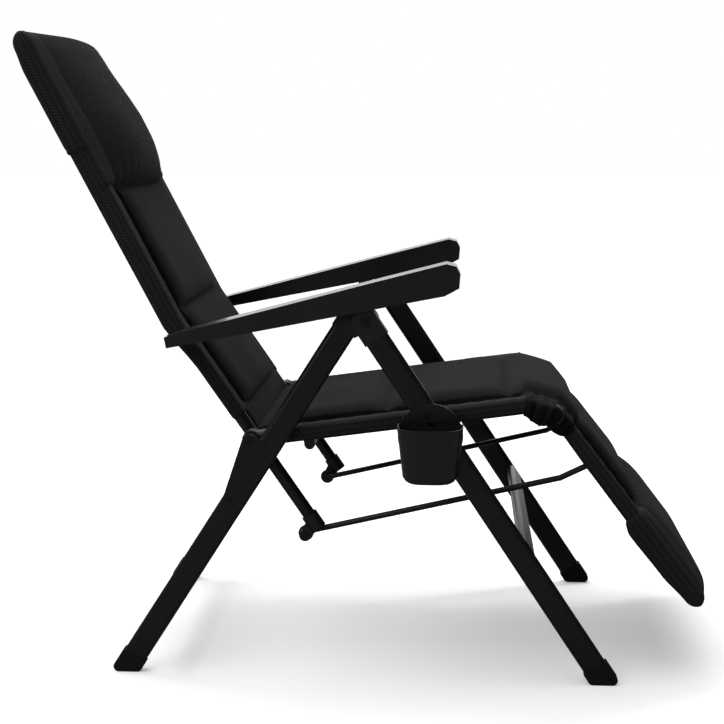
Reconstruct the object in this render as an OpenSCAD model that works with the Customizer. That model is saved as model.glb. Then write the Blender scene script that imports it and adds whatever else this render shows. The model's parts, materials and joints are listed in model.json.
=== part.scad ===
// Reclining lounge chair with footrest: two folding leg frames under the armrests, and a padded
// seat, back and footrest hinged in a chain. Push rods tie the footrest to the back.
//
// Frame: X points to the front, Y to the sitter's left, Z up. The origin is on the floor in the
// middle plane, under the leg hinges. Side views are drawn as [x, z] points, and an angle in
// that plane is counted from +X towards +Z.

/* [Leg frames] */
// Height of the leg hinge over the floor
apex_height = 598; // [560:1:640]
// Slope of the front legs from the floor
front_leg_slope = 56.4; // [52:0.1:62]
// Slope of the rear legs from the floor
rear_leg_slope = 57.5; // [54:0.1:62]
// How far the rear leg's axis lies behind the leg hinge
rear_leg_offset = 22; // [16:1:26]
// Width of the oval leg tube
leg_width = 40; // [34:1:46]
// Thickness of the oval leg tube
leg_thick = 16; // [12:1:18]
// Wall of the leg and crossbar tubes
leg_wall = 1.2; // [0.8:0.1:2]
// Middle plane to the middle of a front leg
front_leg_y = 300; // [290:1:330]
// Width and thickness of the oval crossbars
crossbar_width = 38; // [30:1:44]
crossbar_thick = 16; // [12:1:20]
// Height of the front crossbar over the floor
front_bar_height = 216; // [180:1:260]
// Height of the rear crossbar over the floor
rear_bar_height = 100; // [90:1:115]
// Wall of a rubber foot round the leg tube
foot_wall = 2; // [2:0.5:4]
// Length of a rubber foot along the leg
foot_length = 34; // [26:1:50]

/* [Seat] */
// Leg hinge to seat pivot, along the front leg
seat_drop = 194; // [180:1:205]
// Rise of the seat rail towards the front
seat_pitch = 7.6; // [5:0.1:10]
// Seat pivot back to the back hinge
seat_rear = 301; // [290:1:310]
// Seat pivot forward to the bend in the seat rail
seat_front = 152; // [120:1:170]
// Bend in the seat rail to the knee hinge
knee_run = 52; // [44:1:64]
// Downward turn of the seat rail at its bend
knee_turn = 23; // [10:1:30]

/* [Back] */
// Slope of the lower part of the back from the floor
back_slope = 55.5; // [50:0.5:62]
// Slope of the upper part of the back from the floor
back_top_slope = 62.5; // [58:0.5:70]
// Back hinge to the bend in the back rail
back_lower = 235; // [225:1:280]
// Bend in the back rail to the middle of the top bar
back_upper = 497; // [450:1:560]
// Back hinge down to the end of the lever
lever_length = 188; // [175:1:195]
// How far the push rod pivot lies behind the lever's axis
lever_ear = 25; // [22:1:30]
// Corner radius of the top bar and the footrest's end bar, at the tube's axis
bow_radius = 55; // [40:1:80]

/* [Footrest] */
// Drop of the footrest from the horizontal
footrest_drop = 52.5; // [46:0.5:60]
// Knee hinge to the middle of the end bar
footrest_length = 400; // [360:1:430]
// Knee hinge to the push rod pivot
rod_arm = 113; // [105:1:122]

/* [Tubes and pins] */
// Diameter of the seat, back and footrest tubes
tube_d = 22; // [19:0.5:24]
// Wall of those tubes
tube_wall = 1.2; // [0.8:0.1:2]
// Middle plane to the axis of a seat rail
seat_rail_y = 257.5; // [256:0.5:258.5]
// Middle plane to the axis of a back or footrest rail
back_rail_y = 232; // [228:0.5:233]
// Diameter of a push rod
rod_d = 10; // [8:0.5:11]
// Diameter of the hinge, knee and link pins
pin_d = 8; // [6:0.5:10]
// Diameter of the leg hinge and armrest bolts
bolt_d = 10; // [8:0.5:12]
// Thickness of a link plate
link_thick = 2.5; // [2:0.1:2.8]
// Link plate's leg pivot, height over the floor
link_pivot_height = 298; // [285:1:310]

/* [Armrests] */
// Back hinge to the armrest pivot, along the back rail
arm_pivot = 207; // [195:1:220]
// Rise of the armrest towards the front
arm_rise = 11; // [6:0.5:16]
// Length of an armrest
arm_length = 489; // [450:1:520]
// Width of an armrest
arm_width = 58; // [57:1:70]
// Height of an armrest at its rear end and near its front end
arm_rear_height = 20; // [16:1:26]
arm_front_height = 50; // [44:1:60]
// Wall of an armrest
arm_wall = 3; // [2:0.5:4]

/* [Padding] */
// Height of the seat cushion over the tube axis
seat_pad_up = 25; // [18:1:34]
// Height of the footrest and back cushions over the tube axis
back_pad_up = 17; // [14:1:26]
// Depth of a cushion under the tube axis
pad_down = 9; // [6:1:11]
// Thickness of the head pillow in front of the tube axis
pillow_up = 45; // [30:1:60]
// Length of the head pillow
pillow_length = 205; // [160:1:240]

/* [Cup holder] */
// Width, depth and height of the cup holder
cup_width = 106; // [84:1:120]
cup_depth = 68; // [60:1:85]
cup_height = 90; // [70:1:110]
// Wall of the cup holder
cup_wall = 2.5; // [2:0.5:4]

/* [Hidden] */
$fn = 48;
// Radial clearance of a turning pin in its hole
run = 0.05;
// Gap between pieces that are near but don't touch
gap = 0.3;
// Rubber under the end of a leg tube
sole = 6;
// Radius of a foot's corners
foot_round = 9;

tube_r = tube_d / 2;
pin_r = pin_d / 2;
bolt_r = bolt_d / 2;
rear_leg_y = front_leg_y - leg_thick - 4.5;
leg_out = front_leg_y + leg_thick / 2;

function dir(a) = [cos(a), sin(a)];
function away(p, a, d) = p + d * dir(a);
function side(p, a, d) = p + d * dir(a + 90);

// Directions in the side view
front_a = 180 - front_leg_slope;
rear_a = rear_leg_slope;
knee_a = seat_pitch - knee_turn;
back_a = 180 - back_slope;
top_a = 180 - back_top_slope;
foot_a = -footrest_drop;

// Joints in the side view
apex = [4, apex_height];
front_foot = away(apex, front_a, -apex_height / sin(front_a));
rear_top = side(apex, rear_a, rear_leg_offset);
rear_foot = away(rear_top, rear_a, -rear_top[1] / sin(rear_a));
seat_pivot = away(apex, front_a, -seat_drop);
back_hinge = away(seat_pivot, seat_pitch, -seat_rear);
rail_bend = away(seat_pivot, seat_pitch, seat_front);
knee = away(rail_bend, knee_a, knee_run);
back_bend = away(back_hinge, back_a, back_lower);
back_top = away(back_bend, top_a, back_upper);
lever_end = away(back_hinge, back_a, -lever_length);
rod_rear = side(lever_end, back_a, lever_ear);
foot_end = away(knee, foot_a, footrest_length);
rod_front = away(knee, foot_a, rod_arm);
arm_hinge = away(back_hinge, back_a, arm_pivot);
link_low = [rear_foot[0] + link_pivot_height / tan(rear_a) - 9, link_pivot_height];

// Where the moulded hinge caps end on the leg tubes, and where the tubes end inside them
cap_length = 34;
tube_stop = 14;
cap_wall = 1.5;
// Sleeve of the hinge brackets along the seat rail
socket = 46;
// Where the seat rail's ends lie inside the brackets
rail_in = 17;
// Inner ends of the pins, past the back and footrest rails
pin_in = back_rail_y - tube_r - 2;
// Plane of the push rods, inside the clamps on the levers
rod_eye = rod_d / 2 + 0.4;
rod_y = back_rail_y - tube_r - 3 - rod_eye - 0.5;

// ---- helpers ----------------------------------------------------------------------------

// Draws on the left as it is, and on the right as its mirror image
module on_side(s) {
    if (s > 0) children();
    else mirror([0, 1, 0]) children();
}

module both_sides() {
    for (s = [-1, 1]) on_side(s) children();
}

// Stands children's Z axis along the side-view direction a, with their X axis square to it
module aim(p, a) {
    translate([p[0], 0, p[1]]) rotate([0, 90 - a, 0]) children();
}

// A round bar between two side-view points
module bar(p, q, r) {
    d = q - p;
    aim(p, atan2(d[1], d[0])) cylinder(r = r, h = norm(d));
}

// A round bar from p over the bend b to q in the side view, a little fuller at the bend
module bent_bar(p, b, q, r) {
    bar(p, b, r);
    bar(b, q, r);
    translate([b[0], 0, b[1]]) sphere(r = 1.04 * r);
}

// A pin along Y at a side-view point
module pin(p, y0, y1, r) {
    translate([p[0], y0, p[1]]) rotate([-90, 0, 0]) cylinder(r = r, h = y1 - y0);
}

// An outline with flat sides and round ends
module oval(w, t) {
    square([w - t, t], center = true);
    for (x = [-1, 1]) translate([x * (w - t) / 2, 0]) circle(d = t);
}

// An oval bar between two side-view points, with its width in the side view
module oval_bar(p, q, w, t) {
    d = q - p;
    aim(p, atan2(d[1], d[0])) linear_extrude(norm(d)) oval(w, t);
}

// Extrudes a side-view outline, drawn in [x, z], between two Y planes
module slab(y0, y1) {
    translate([0, y1, 0]) rotate([90, 0, 0]) linear_extrude(y1 - y0) children();
}

// A side-view outline along a line, reaching d under it and u over it, with round ends
module pad_outline(p, a, s0, s1, d, u) {
    r = (d + u) / 2;
    translate(p) rotate(a) translate([0, (u - d) / 2]) {
        translate([s0 + r, -r]) square([s1 - s0 - 2 * r, 2 * r]);
        translate([s0 + r, 0]) circle(r = r);
        translate([s1 - r, 0]) circle(r = r);
    }
}

// ---- leg frames -------------------------------------------------------------------------

module leg_solid(foot, top, y, grow) {
    translate([0, y, 0]) oval_bar(foot, top, leg_width + 2 * grow, leg_thick + 2 * grow);
}

module below(z) {
    translate([-1000, -1000, z - 200]) cube([2000, 2000, 200]);
}

// A hollow oval leg, cut level over its rubber sole
module leg(foot, top, y) {
    a = atan2(top[1] - foot[1], top[0] - foot[0]);
    difference() {
        leg_solid(foot, away(top, a, -tube_stop), y, 0);
        leg_solid(away(foot, a, -1), top, y, -leg_wall);
        below(sole);
    }
}

// A rubber foot: a sleeve round the leg tube with a flat sole and round corners
module foot(p, a, y) {
    half = leg_width / 2 + foot_wall;
    low = [for (k = [-1, 1]) [p[0] + (foot_round * cos(a) + k * (half - foot_round)) / sin(a), foot_round]];
    t = leg_thick + 2 * foot_wall;
    mid = away(p, a, foot_length);
    difference() {
        slab(y - t / 2, y + t / 2) {
            for (c = low) translate(c) circle(r = foot_round);
            polygon([
                [low[0][0], 0], [low[1][0], 0], side(low[1], a, -foot_round),
                side(mid, a, -half), side(mid, a, half), side(low[0], a, foot_round)
            ]);
        }
        difference() {
            leg_solid(p, away(p, a, 2 * foot_length), y, 0);
            below(sole);
        }
    }
}

module front_leg(s) {
    color("#1c1d1f") on_side(s) difference() {
        leg(front_foot, apex, front_leg_y);
        pin(seat_pivot, front_leg_y - leg_thick, leg_out + 1, pin_r + run);
    }
}

module rear_leg(s) {
    color("#1c1d1f") on_side(s) leg(rear_foot, rear_top, rear_leg_y);
}

// An oval tube across the chair, butted against the inner faces of two legs
module crossbar(p, a, reach) {
    color("#232427") difference() {
        translate([0, -reach, 0]) rotate([-90, 0, 0]) linear_extrude(2 * reach)
            translate([p[0], -p[1]]) rotate(-a) oval(crossbar_width, crossbar_thick);
        translate([0, -reach - 1, 0]) rotate([-90, 0, 0]) linear_extrude(2 * reach + 2)
            translate([p[0], -p[1]]) rotate(-a)
                oval(crossbar_width - 2 * leg_wall, crossbar_thick - 2 * leg_wall);
    }
}

module front_crossbar() {
    at = away(front_foot, front_a, front_bar_height / sin(front_a));
    crossbar(side(at, front_a, -leg_width / 2 + crossbar_thick / 2), front_a, front_leg_y - leg_thick / 2);
}

module rear_crossbar() {
    at = away(rear_foot, rear_a, rear_bar_height / sin(rear_a));
    crossbar(at, rear_a, rear_leg_y - leg_thick / 2);
}

// A moulded cap over the top of a leg, with a round eye on the leg hinge
module hinge_cap(top, a, y) {
    w = leg_width + 2 * cap_wall;
    t = leg_thick + 2 * cap_wall;
    difference() {
        slab(y - t / 2, y + t / 2) {
            translate(apex) circle(d = w);
            translate(top) rotate(a) translate([-cap_length, -w / 2]) square([cap_length, w]);
            polygon([
                side(top, a, w / 2), side(away(top, a, -cap_length), a, w / 2),
                side(away(top, a, -cap_length), a, -w / 2), side(apex, a, -w / 2)
            ]);
        }
        leg_solid(away(top, a, -2 * cap_length), away(top, a, -tube_stop), y, 0);
        pin(apex, y - t, y + t, bolt_r + run);
    }
}

module front_hinge_cap(s) {
    color("#2b2c2f") on_side(s) hinge_cap(apex, front_a, front_leg_y);
}

module rear_hinge_cap(s) {
    color("#2b2c2f") on_side(s) hinge_cap(rear_top, rear_a, rear_leg_y);
}

// Bolts through both hinge caps, with a washer between the caps
module leg_hinge_bolts() {
    inner = rear_leg_y - leg_thick / 2 - cap_wall;
    outer = leg_out + cap_wall;
    between = rear_leg_y + leg_thick / 2 + cap_wall;
    color("silver") both_sides() {
        pin(apex, inner - 2, outer + 1, bolt_r);
        pin(apex, inner - 2, inner - 0.1, bolt_r + 3);
        pin(apex, outer + 0.1, outer + 2, bolt_r + 3);
        pin(apex, between + 0.1, front_leg_y - leg_thick / 2 - cap_wall - 0.1, bolt_r + 5);
    }
}

// Bolts that carry the seat rails on the front legs
module seat_pivot_bolts() {
    color("silver") both_sides() {
        pin(seat_pivot, seat_rail_y - tube_r - 3, leg_out + 0.5, pin_r);
        pin(seat_pivot, seat_rail_y - tube_r - 3, seat_rail_y - tube_r - 0.2, pin_r + 3);
        pin(seat_pivot, seat_rail_y + tube_r + 0.2, front_leg_y - leg_thick / 2 - 0.1, pin_r + 2.5);
        pin(seat_pivot, leg_out + 0.1, leg_out + 1.6, pin_r + 2.5);
    }
}

// ---- cup holder -------------------------------------------------------------------------

cup_x = 110;
cup_floor = 344;
cup_back = leg_out + gap + 2.2;
cup_screw = [apex[0] - (449 - apex[1]) * cos(front_a) / -sin(front_a), 449];

// A D-shaped slice of the cup, flat towards the leg
module cup_slice(w, d, z, h) {
    r = min(w / 2, d) * 0.66;
    translate([cup_x, 0, z]) linear_extrude(h) {
        translate([-w / 2, 0]) square([w, d - r]);
        translate([-w / 2 + r, 0]) square([w - 2 * r, d]);
        for (k = [-1, 1]) translate([k * (w / 2 - r), d - r]) circle(r = r, $fn = 32);
    }
}

module cup_body(shrink, z0, z1) {
    hull() {
        cup_slice(0.66 * cup_width - 2 * shrink, 0.74 * cup_depth - shrink, z0, 1);
        cup_slice(0.75 * cup_width - 2 * shrink, 0.83 * cup_depth - shrink, z0 + 0.04 * cup_height, 1);
        cup_slice(0.83 * cup_width - 2 * shrink, 0.90 * cup_depth - shrink, z0 + 0.12 * cup_height, 1);
        cup_slice(cup_width - 2 * shrink, cup_depth - shrink, z1 - 1, 1);
    }
}

module cup_holder() {
    color("#35363a") mirror([0, 1, 0]) translate([0, cup_back, 0]) difference() {
        union() {
            cup_body(0, cup_floor, cup_floor + cup_height);
            // Round-topped back plate
            translate([0, -2, 0]) slab(0, 2 + 0.5) {
                translate([cup_x, cup_floor + cup_height - 20]) circle(d = cup_width);
                translate([cup_x - 0.36 * cup_width, cup_floor + 2])
                    square([0.72 * cup_width, cup_height - 20]);
            }
        }
        translate([0, 0.5, 0]) cup_body(cup_wall, cup_floor + cup_wall, cup_floor + cup_height + 2);
        pin(cup_screw, -5, 5, 3);
        // Pocket for the head of the seat's pivot bolt
        pin(seat_pivot, -5, -0.6, pin_r + 3.5);
    }
}

module cup_holder_screw() {
    color("silver") mirror([0, 1, 0]) {
        pin(cup_screw, leg_out + 0.05, cup_back + 1.5, 2.9);
        pin(cup_screw, cup_back + 0.55, cup_back + 2.6, 5);
    }
}

// ---- links ------------------------------------------------------------------------------

link_y = rear_leg_y + leg_thick / 2 + 0.5;

// A plate from the back hinge to the rear leg, wider at the top
module link_plate(s) {
    color("#1e1f22") on_side(s) difference() {
        slab(link_y, link_y + link_thick) {
            d = back_hinge - link_low;
            a = atan2(d[1], d[0]);
            translate(back_hinge) circle(r = 13);
            translate(link_low) circle(r = 11);
            translate(away(back_hinge, -30, 20)) circle(r = 11);
            polygon([
                side(back_hinge, a, 13), side(link_low, a, 11), side(link_low, a, -11),
                away(back_hinge, -30, 31), away(away(back_hinge, -30, 20), 50, 11), away(back_hinge, 60, 13)
            ]);
        }
        pin(back_hinge, link_y - 1, link_y + 5, pin_r + run);
        pin(link_low, link_y - 1, link_y + 5, 3 + run);
    }
}

module link_rivets() {
    color("silver") both_sides() {
        pin(link_low, link_y + 0.05, link_y + link_thick + 0.1, 3);
        pin(link_low, link_y + link_thick + 0.05, link_y + link_thick + 1.1, 5);
    }
}

// ---- seat -------------------------------------------------------------------------------

module seat_rail(s) {
    start = away(back_hinge, seat_pitch, rail_in);
    end = away(knee, knee_a, -rail_in);
    color("#1c1d1f") on_side(s) difference() {
        translate([0, seat_rail_y, 0]) bent_bar(start, rail_bend, end, tube_r);
        translate([0, seat_rail_y, 0])
            bent_bar(away(start, seat_pitch, -1), rail_bend, away(end, knee_a, 1), tube_r - tube_wall);
        pin(seat_pivot, seat_rail_y - 2 * tube_r, seat_rail_y + 2 * tube_r, pin_r + run);
    }
}

// A moulded socket on an end of the seat rail, with an eye for a hinge pin
module rail_bracket(p, a) {
    difference() {
        union() {
            pin(p, seat_rail_y - tube_r - 1, seat_rail_y + tube_r + 1, tube_r + 4);
            translate([0, seat_rail_y, 0]) bar(p, away(p, a, socket), tube_r + 2.5);
        }
        translate([0, seat_rail_y, 0]) bar(away(p, a, rail_in), away(p, a, 2 * socket), tube_r);
        pin(p, seat_rail_y - 2 * tube_r, seat_rail_y + 2 * tube_r, pin_r + run);
        // The sleeve stays inside the eye's faces, clear of the rails beside it
        for (y = [seat_rail_y - tube_r - 1 - 10, seat_rail_y + tube_r + 1])
            translate([p[0] - 100, y, p[1] - 100]) cube([200, 10, 200]);
    }
}

module hinge_bracket(s) {
    color("#2b2c2f") on_side(s) rail_bracket(back_hinge, seat_pitch);
}

module knee_bracket(s) {
    color("#2b2c2f") on_side(s) rail_bracket(knee, knee_a + 180);
}

// A tube under the seat, closed at its ends over saddles that carry it on the rails
module seat_crossbar() {
    p = away(back_hinge, seat_pitch, 95);
    low = side(p, seat_pitch, -tube_r - 9);
    color("#1c1d1f") difference() {
        union() {
            pin(low, -seat_rail_y - 8, seat_rail_y + 8, 9);
            both_sides() slab(seat_rail_y - 8, seat_rail_y + 8)
                translate(low) rotate(seat_pitch) translate([-9, 0]) square([18, 15]);
        }
        pin(low, -seat_rail_y - 4, seat_rail_y + 4, 9 - tube_wall);
        // Drain hole
        translate([low[0], 0, low[1] - 10]) cylinder(r = 1.5, h = 5);
        both_sides() translate([0, seat_rail_y, 0])
            bar(away(p, seat_pitch, -20), away(p, seat_pitch, 20), tube_r);
    }
}

// Cushions lie between the rails, clear of the bolt heads
seat_half = seat_rail_y - tube_r - 3 - gap;
module seat_cushion() {
    run_length = seat_rear + seat_front;
    color("#2f3033") slab(-seat_half, seat_half) {
        pad_outline(back_hinge, seat_pitch, 44, run_length + 16, pad_down, seat_pad_up);
        pad_outline(rail_bend, knee_a, -16, knee_run - 18, pad_down, pad_down + 8);
    }
}

// A closed tube between two hinge bolts, with a drain hole in the middle
module hinge_tube(p) {
    difference() {
        pin(p, -back_rail_y + tube_r + 0.2, back_rail_y - tube_r - 0.2, tube_r);
        pin(p, -pin_in + 1, pin_in - 1, tube_r - 2);
        translate([p[0], 0, p[1] - tube_r - 1]) cylinder(r = 1.5, h = tube_r);
    }
}

module back_hinge_bolts() {
    color("silver") hinge_tube(back_hinge);
    color("silver") both_sides() {
        pin(back_hinge, pin_in, link_y + link_thick + 0.2, pin_r);
        pin(back_hinge, back_rail_y + tube_r + 0.2, seat_rail_y - tube_r - 1.2, pin_r + 4);
        pin(back_hinge, seat_rail_y + tube_r + 1.2, link_y - 0.2, pin_r + 3.5);
        pin(back_hinge, link_y + link_thick + 0.1, link_y + link_thick + 1.1, pin_r + 3);
    }
}

// ---- back -------------------------------------------------------------------------------

bow_start = back_upper - bow_radius;

module back_rail(s) {
    low = away(back_hinge, back_a, -lever_length + 2);
    high = away(back_bend, top_a, bow_start);
    color("#1c1d1f") on_side(s) difference() {
        translate([0, back_rail_y, 0]) bent_bar(low, back_bend, high, tube_r);
        translate([0, back_rail_y, 0])
            bent_bar(away(low, back_a, -1), back_bend, away(high, top_a, 1), tube_r - tube_wall);
        pin(back_hinge, back_rail_y - 2 * tube_r, back_rail_y + 2 * tube_r, pin_r + run);
        pin(arm_hinge, back_rail_y - 2 * tube_r, back_rail_y + 2 * tube_r, bolt_r + run);
    }
}

// A tube that turns across the chair, with a quarter bend at each end and straight tails
module bow(p, a, reach, r, tail) {
    aim(p, a) rotate([90, 0, 90]) {
        for (k = [0, 1]) mirror([k, 0, 0]) {
            translate([reach - bow_radius, 0, 0]) rotate_extrude(angle = 90)
                translate([bow_radius, 0]) circle(r = r);
            if (tail > 0) translate([reach, 0, 0]) rotate([90, 0, 0]) cylinder(r = r, h = tail);
        }
        translate([-reach + bow_radius, bow_radius, 0]) rotate([0, 90, 0])
            cylinder(r = r, h = 2 * (reach - bow_radius));
    }
}

module hollow_bow(p, a, reach) {
    difference() {
        bow(p, a, reach, tube_r, 0);
        bow(p, a, reach, tube_r - tube_wall, 0);
    }
}

module back_top_bar() {
    color("#1c1d1f") hollow_bow(away(back_bend, top_a, bow_start), top_a, back_rail_y);
}

// A clamp on the lever's end, with an ear that carries the push rod
module lever_clamp(s) {
    color("#2b2c2f") on_side(s) difference() {
        union() {
            translate([0, back_rail_y, 0])
                bar(away(lever_end, back_a, -3), away(lever_end, back_a, 26), tube_r + 3);
            slab(back_rail_y - 9, back_rail_y + 9) {
                translate(rod_rear) circle(r = 10);
                polygon([
                    away(lever_end, back_a, -3), away(rod_rear, back_a, -10),
                    away(rod_rear, back_a, 10), away(lever_end, back_a, 24)
                ]);
            }
        }
        translate([0, back_rail_y, 0])
            bar(away(lever_end, back_a, 2), away(lever_end, back_a, 60), tube_r);
        pin(rod_rear, back_rail_y - 20, back_rail_y + 20, 3 + run);
    }
}

// Lays an outline drawn along +X onto a back rail, with its upper side to the front
module on_back(p, a) {
    translate(p) rotate(a) mirror([0, 1]) children();
}

back_half = pin_in - 1 - gap;

module lower_back_cushion() {
    color("#2f3033") slab(-back_half, back_half)
        on_back(back_hinge, back_a) pad_outline([0, 0], 0, 36, back_lower - 4, pad_down, back_pad_up);
}

pillow_start = back_upper + tube_r + 9 - pillow_length;
module upper_back_cushion() {
    color("#2f3033") slab(-back_half, back_half)
        on_back(back_bend, top_a) pad_outline([0, 0], 0, 4, pillow_start - 0.6, pad_down, back_pad_up);
}

// A pillow drawn over the top of the back frame, with channels for its tubes
module head_pillow() {
    half = back_rail_y + tube_r + 5;
    end = pillow_start + pillow_length;
    color("#2f3033") difference() {
        union() {
            slab(-half, half) on_back(back_bend, top_a) pad_outline([0, 0], 0, pillow_start, end, tube_r + 9, 22);
            slab(-half + 62, half - 62) on_back(back_bend, top_a)
                pad_outline([0, 0], 0, pillow_start + 4, end - 14, tube_r, pillow_up);
        }
        bow(away(back_bend, top_a, bow_start), top_a, back_rail_y, tube_r + gap, pillow_length);
    }
}

// ---- armrests ---------------------------------------------------------------------------

arm_mid = (front_leg_y + rear_leg_y) / 2 + 1;
arm_in = arm_mid - arm_width / 2;
arm_out = arm_mid + arm_width / 2;
arm_tail = 15;
arm_nose = arm_length - arm_tail;

// Side outline from the armrest pivot, shrunk by c, and let out underneath by open
module arm_outline(c, open) {
    low = -arm_rear_height / 2;
    high = arm_front_height - arm_rear_height / 2;
    translate(arm_hinge) rotate(arm_rise) polygon([
        [-arm_tail + c, low - open], [arm_nose - 32 - c, low - open], [arm_nose - 32 - c, low],
        [arm_nose - 7 - c, low + 8], [arm_nose - 1 - c, high / 2], [arm_nose - 5 - c, high - 7 - c],
        [arm_nose - 20 - c, high - c], [0.66 * arm_length, 0.8 * high - c], [10, -low + 1 - c],
        [-arm_tail + c, -low - 2 - c]
    ]);
}

// A moulded channel, open underneath, that the leg hinge slides in
module armrest(s) {
    color("#26272a") on_side(s) difference() {
        union() {
            difference() {
                slab(arm_in, arm_out) arm_outline(0, 0);
                slab(arm_in + arm_wall, arm_out - arm_wall) arm_outline(arm_wall, 10);
            }
            // Boss round the pivot bolt
            pin(arm_hinge, arm_in, arm_in + 12, bolt_r + 3);
        }
        pin(arm_hinge, arm_in - 1, arm_in + 20, bolt_r + run);
    }
}

// Notched bars under the armrest tops, which the leg hinge locks into
module armrest_racks() {
    teeth = 9;
    pitch = 16;
    start = 0.48 * arm_length;
    top = arm_rear_height / 2 + 0.74 * (arm_front_height - arm_rear_height) * 0.73 - arm_wall - 3;
    color("#3a3b3e") both_sides() slab(arm_in + arm_wall, arm_out - arm_wall)
        translate(arm_hinge) rotate(arm_rise) difference() {
            translate([start, top - 6]) square([teeth * pitch + 8, 6]);
            for (i = [0 : teeth - 1]) translate([start + 12 + i * pitch, top - 6]) circle(r = 3.5);
        }
}

module armrest_bolts() {
    color("silver") both_sides() {
        pin(arm_hinge, pin_in - 1, arm_in + 16, bolt_r);
        pin(arm_hinge, pin_in - 1, back_rail_y - tube_r - 0.2, bolt_r + 3);
        pin(arm_hinge, back_rail_y + tube_r + 2.5, arm_in - 0.3, bolt_r + 4);
    }
}

// ---- push rods --------------------------------------------------------------------------

// Pins in the lever clamps, each with a thick spacer between the clamp and the push rod
module rod_pins() {
    color("silver") both_sides() {
        pin(rod_rear, rod_y - rod_eye - 2, back_rail_y + 11, 3);
        pin(rod_rear, back_rail_y + 9.2, back_rail_y + 11, 6);
        pin(rod_rear, rod_y + rod_eye + 0.2, back_rail_y - 9.2, 13);
        pin(rod_rear, rod_y - rod_eye - 2, rod_y - rod_eye - 0.2, 5);
    }
}

module push_rod(s) {
    d = rod_front - rod_rear;
    a = atan2(d[1], d[0]);
    bend = side(away(rod_rear, a, 0.88 * norm(d)), a, -12);
    b = atan2(bend[1] - rod_rear[1], bend[0] - rod_rear[0]);
    color("#1c1d1f") on_side(s) difference() {
        union() {
            translate([0, rod_y, 0]) bent_bar(away(rod_rear, b, 2), bend, rod_front, rod_d / 2);
            pin(rod_rear, rod_y - rod_eye, rod_y + rod_eye, 7);
            pin(rod_front, rod_y - rod_eye, rod_y + rod_eye, 7);
        }
        pin(rod_rear, rod_y - rod_d, rod_y + rod_d, 3 + run);
    }
}

// ---- footrest ---------------------------------------------------------------------------

foot_bow = footrest_length - bow_radius;

module knee_bolts() {
    color("silver") hinge_tube(knee);
    color("silver") both_sides() {
        pin(knee, pin_in, seat_rail_y + tube_r + 3.2, pin_r);
        pin(knee, back_rail_y + tube_r + 0.2, seat_rail_y - tube_r - 1.2, pin_r + 4);
        pin(knee, seat_rail_y + tube_r + 1.2, seat_rail_y + tube_r + 3.2, pin_r + 3);
    }
}

module footrest_rail(s) {
    color("#1c1d1f") on_side(s) difference() {
        union() {
            translate([0, back_rail_y, 0]) bar(away(knee, foot_a, -12), away(knee, foot_a, foot_bow), tube_r);
            // Boss that the push rod turns on
            pin(rod_front, rod_y + rod_eye + 0.4, back_rail_y - 4, 6);
        }
        translate([0, back_rail_y, 0])
            bar(away(knee, foot_a, -13), away(knee, foot_a, foot_bow + 1), tube_r - tube_wall);
        pin(knee, back_rail_y - 2 * tube_r, back_rail_y + 2 * tube_r, pin_r + run);
    }
}

module footrest_end_bar() {
    color("#1c1d1f") hollow_bow(away(knee, foot_a, foot_bow), foot_a, back_rail_y);
}

foot_pillow_length = 175;
foot_pillow_start = footrest_length + tube_r + 5 - foot_pillow_length;
module footrest_cushion() {
    half = rod_y - rod_eye - 1.5;
    color("#2f3033") slab(-half, half) pad_outline(knee, foot_a, 42, foot_pillow_start - 0.6, pad_down, back_pad_up);
}

module foot_pillow() {
    half = back_rail_y + tube_r + 3;
    end = foot_pillow_start + foot_pillow_length;
    color("#2f3033") difference() {
        slab(-half, half) pad_outline(knee, foot_a, foot_pillow_start, end, tube_r + 4, 24);
        bow(away(knee, foot_a, foot_bow), foot_a, back_rail_y, tube_r + gap, foot_pillow_length);
    }
}

// ---- what is drawn ----------------------------------------------------------------------

front_leg(-1);  // front_leg_right
front_leg(1);  // front_leg_left
front_crossbar();
color("#151515") on_side(-1) foot(front_foot, front_a, front_leg_y);  // front_foot_right
color("#151515") on_side(1) foot(front_foot, front_a, front_leg_y);  // front_foot_left
front_hinge_cap(-1);  // front_hinge_cap_right
front_hinge_cap(1);  // front_hinge_cap_left
leg_hinge_bolts();
seat_pivot_bolts();
cup_holder();
cup_holder_screw();
rear_leg(-1);  // rear_leg_right
rear_leg(1);  // rear_leg_left
rear_crossbar();
color("#151515") on_side(-1) foot(rear_foot, rear_a, rear_leg_y);  // rear_foot_right
color("#151515") on_side(1) foot(rear_foot, rear_a, rear_leg_y);  // rear_foot_left
rear_hinge_cap(-1);  // rear_hinge_cap_right
rear_hinge_cap(1);  // rear_hinge_cap_left
link_plate(-1);  // link_plate_right
link_plate(1);  // link_plate_left
link_rivets();
seat_rail(-1);  // seat_rail_right
seat_rail(1);  // seat_rail_left
seat_crossbar();
hinge_bracket(-1);  // hinge_bracket_right
hinge_bracket(1);  // hinge_bracket_left
knee_bracket(-1);  // knee_bracket_right
knee_bracket(1);  // knee_bracket_left
seat_cushion();
back_hinge_bolts();
back_rail(-1);  // back_rail_right
back_rail(1);  // back_rail_left
back_top_bar();
lever_clamp(-1);  // lever_clamp_right
lever_clamp(1);  // lever_clamp_left
lower_back_cushion();
upper_back_cushion();
head_pillow();
armrest_bolts();
armrest(-1);  // armrest_right
armrest(1);  // armrest_left
armrest_racks();
rod_pins();
push_rod(-1);  // push_rod_right
push_rod(1);  // push_rod_left
knee_bolts();
footrest_rail(-1);  // footrest_rail_right
footrest_rail(1);  // footrest_rail_left
footrest_end_bar();
footrest_cushion();
foot_pillow();
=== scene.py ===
"""Looks of a reclining lounge chair: padded covers, painted tubes, moulded parts and a studio.

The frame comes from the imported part. Covers are surfaces over two parameters, the place s along a
rail and a place around the section. Their height n is counted from the rails' plane. Sizes are in
metres, X to the front, Y to the sitter's left, Z up.
"""

import json
import math

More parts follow.
